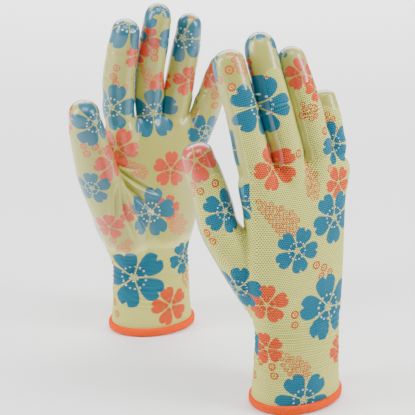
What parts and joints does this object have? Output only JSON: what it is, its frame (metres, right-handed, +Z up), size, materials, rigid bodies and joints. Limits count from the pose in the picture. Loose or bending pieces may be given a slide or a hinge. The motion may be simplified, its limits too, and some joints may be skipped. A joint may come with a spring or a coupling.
{
  "type": "gardening gloves",
  "caption": "Pair of seamless knitted gardening gloves with a clear dipped coating on palm and fingers, elastic cuffs and overlocked hems, standing on their hems.",
  "frame": {"origin": "on the surface that the hems stand on, under the middle of the pair's box", "axes": "+Z up, from the hems to the fingertips; +Y away from the front, where the left glove stands behind the right one; +X towards the right glove"},
  "size_m": [0.179, 0.1606, 0.2397],
  "materials": {
    "knit": "pale yellow polyester knit, 13 gauge, with a printed blossom pattern",
    "coating": "thin clear glossy dipped coating over the printed knit",
    "hem": "bright orange overlock thread",
    "elastic": "white covered elastic yarn"
  },
  "bodies": {
    "right_hand": {"right_hand_knit": "knit", "right_palm_coating": "coating", "right_cuff_knit": "knit", "right_cuff_elastic": "elastic", "right_hem_overlock": "hem"},
    "right_thumb_base": {"right_thumb_base_knit": "knit", "right_thumb_base_coating": "coating"},
    "right_thumb_tip": {"right_thumb_tip_knit": "knit", "right_thumb_tip_coating": "coating"},
    "right_index_base": {"right_index_base_knit": "knit", "right_index_base_coating": "coating"},
    "right_index_tip": {"right_index_tip_knit": "knit", "right_index_tip_coating": "coating"},
    "right_middle_base": {"right_middle_base_knit": "knit", "right_middle_base_coating": "coating"},
    "right_middle_tip": {"right_middle_tip_knit": "knit", "right_middle_tip_coating": "coating"},
    "right_ring_base": {"right_ring_base_knit": "knit", "right_ring_base_coating": "coating"},
    "right_ring_tip": {"right_ring_tip_knit": "knit", "right_ring_tip_coating": "coating"},
    "right_little_base": {"right_little_base_knit": "knit", "right_little_base_coating": "coating"},
    "right_little_tip": {"right_little_tip_knit": "knit", "right_little_tip_coating": "coating"},
    "left_hand": {"left_hand_knit": "knit", "left_palm_coating": "coating", "left_cuff_knit": "knit", "left_cuff_elastic": "elastic", "left_hem_overlock": "hem"},
    "left_thumb_base": {"left_thumb_base_knit": "knit", "left_thumb_base_coating": "coating"},
    "left_thumb_tip": {"left_thumb_tip_knit": "knit", "left_thumb_tip_coating": "coating"},
    "left_index_base": {"left_index_base_knit": "knit", "left_index_base_coating": "coating"},
    "left_index_tip": {"left_index_tip_knit": "knit", "left_index_tip_coating": "coating"},
    "left_middle_base": {"left_middle_base_knit": "knit", "left_middle_base_coating": "coating"},
    "left_middle_tip": {"left_middle_tip_knit": "knit", "left_middle_tip_coating": "coating"},
    "left_ring_base": {"left_ring_base_knit": "knit", "left_ring_base_coating": "coating"},
    "left_ring_tip": {"left_ring_tip_knit": "knit", "left_ring_tip_coating": "coating"},
    "left_little_base": {"left_little_base_knit": "knit", "left_little_base_coating": "coating"},
    "left_little_tip": {"left_little_tip_knit": "knit", "left_little_tip_coating": "coating"}
  },
  "joints": [
    {"name": "right_thumb_knuckle", "type": "hinge", "parent": "right_hand", "child": "right_thumb_base", "pos_m": [0.00929, -0.06519, 0.122], "axis": [-0.9586, -0.0755, -0.2746], "range_deg": [-10, 30]},
    {"name": "right_thumb_second_joint", "type": "hinge", "parent": "right_thumb_base", "child": "right_thumb_tip", "pos_m": [0.0032, -0.06332, 0.145], "axis": [-0.9586, -0.0755, -0.2746], "range_deg": [-10, 30]},
    {"name": "right_index_knuckle", "type": "hinge", "parent": "right_hand", "child": "right_index_base", "pos_m": [0.02861, -0.0685, 0.167], "axis": [-0.8714, -0.4633, -0.1613], "range_deg": [-10, 50]},
    {"name": "right_index_second_joint", "type": "hinge", "parent": "right_index_base", "child": "right_index_tip", "pos_m": [0.02114, -0.06681, 0.198], "axis": [-0.8714, -0.4633, -0.1613], "range_deg": [-8, 40]},
    {"name": "right_middle_knuckle", "type": "hinge", "parent": "right_hand", "child": "right_middle_base", "pos_m": [0.04988, -0.06059, 0.167], "axis": [-0.8716, -0.4634, -0.1601], "range_deg": [-10, 50]},
    {"name": "right_middle_second_joint", "type": "hinge", "parent": "right_middle_base", "child": "right_middle_tip", "pos_m": [0.04147, -0.06223, 0.198], "axis": [-0.8716, -0.4634, -0.1601], "range_deg": [-8, 40]},
    {"name": "right_ring_knuckle", "type": "hinge", "parent": "right_hand", "child": "right_ring_base", "pos_m": [0.06843, -0.05073, 0.166], "axis": [-0.8663, -0.4606, -0.1931], "range_deg": [-10, 50]},
    {"name": "right_ring_second_joint", "type": "hinge", "parent": "right_ring_base", "child": "right_ring_tip", "pos_m": [0.06131, -0.05225, 0.192], "axis": [-0.8663, -0.4606, -0.1931], "range_deg": [-8, 40]},
    {"name": "right_little_knuckle", "type": "hinge", "parent": "right_hand", "child": "right_little_base", "pos_m": [0.07903, -0.0349, 0.162], "axis": [-0.8804, -0.4681, -0.0765], "range_deg": [-10, 50]},
    {"name": "right_little_second_joint", "type": "hinge", "parent": "right_little_base", "child": "right_little_tip", "pos_m": [0.07621, -0.033, 0.18], "axis": [-0.8804, -0.4681, -0.0765], "range_deg": [-8, 40]},
    {"name": "left_thumb_knuckle", "type": "hinge", "parent": "left_hand", "child": "left_thumb_base", "pos_m": [-0.07243, 0.02459, 0.126], "axis": [0.7146, 0.6322, 0.2996], "range_deg": [-10, 30]},
    {"name": "left_thumb_second_joint", "type": "hinge", "parent": "left_thumb_base", "child": "left_thumb_tip", "pos_m": [-0.07629, 0.01545, 0.15], "axis": [0.7146, 0.6322, 0.2996], "range_deg": [-10, 30]},
    {"name": "left_index_knuckle", "type": "hinge", "parent": "left_hand", "child": "left_index_base", "pos_m": [-0.05931, 0.04831, 0.163], "axis": [0.949, 0.3083, -0.066], "range_deg": [-10, 50]},
    {"name": "left_index_second_joint", "type": "hinge", "parent": "left_index_base", "child": "left_index_tip", "pos_m": [-0.05867, 0.04536, 0.189], "axis": [0.949, 0.3083, -0.066], "range_deg": [-8, 40]},
    {"name": "left_middle_knuckle", "type": "hinge", "parent": "left_hand", "child": "left_middle_base", "pos_m": [-0.03894, 0.05808, 0.163], "axis": [0.9495, 0.3085, -0.0578], "range_deg": [-10, 50]},
    {"name": "left_middle_second_joint", "type": "hinge", "parent": "left_middle_base", "child": "left_middle_tip", "pos_m": [-0.03801, 0.05523, 0.192], "axis": [0.9495, 0.3085, -0.0578], "range_deg": [-8, 40]},
    {"name": "left_ring_knuckle", "type": "hinge", "parent": "left_hand", "child": "left_ring_base", "pos_m": [-0.0203, 0.06414, 0.163], "axis": [0.9463, 0.3075, -0.1002], "range_deg": [-10, 50]},
    {"name": "left_ring_second_joint", "type": "hinge", "parent": "left_ring_base", "child": "left_ring_tip", "pos_m": [-0.016, 0.06291, 0.19], "axis": [0.9463, 0.3075, -0.1002], "range_deg": [-8, 40]},
    {"name": "left_little_knuckle", "type": "hinge", "parent": "left_hand", "child": "left_little_base", "pos_m": [0.00065, 0.06569, 0.159], "axis": [0.9233, 0.3, -0.2397], "range_deg": [-10, 50]},
    {"name": "left_little_second_joint", "type": "hinge", "parent": "left_little_base", "child": "left_little_tip", "pos_m": [0.00567, 0.06416, 0.1755], "axis": [0.9233, 0.3, -0.2397], "range_deg": [-8, 40]},
    {"name": "left_glove_lift", "type": "slide", "parent": "right_hand", "child": "left_hand", "axis": [0, 0, 1], "range_m": [0, 0.12]}
  ],
  "couplings": [
    {"joint": "right_thumb_second_joint", "follows": "right_thumb_knuckle", "ratio": 1},
    {"joint": "right_index_second_joint", "follows": "right_index_knuckle", "ratio": 0.8},
    {"joint": "right_middle_second_joint", "follows": "right_middle_knuckle", "ratio": 0.8},
    {"joint": "right_ring_second_joint", "follows": "right_ring_knuckle", "ratio": 0.8},
    {"joint": "right_little_second_joint", "follows": "right_little_knuckle", "ratio": 0.8},
    {"joint": "left_thumb_second_joint", "follows": "left_thumb_knuckle", "ratio": 1},
    {"joint": "left_index_second_joint", "follows": "left_index_knuckle", "ratio": 0.8},
    {"joint": "left_middle_second_joint", "follows": "left_middle_knuckle", "ratio": 0.8},
    {"joint": "left_ring_second_joint", "follows": "left_ring_knuckle", "ratio": 0.8},
    {"joint": "left_little_second_joint", "follows": "left_little_knuckle", "ratio": 0.8}
  ]
}
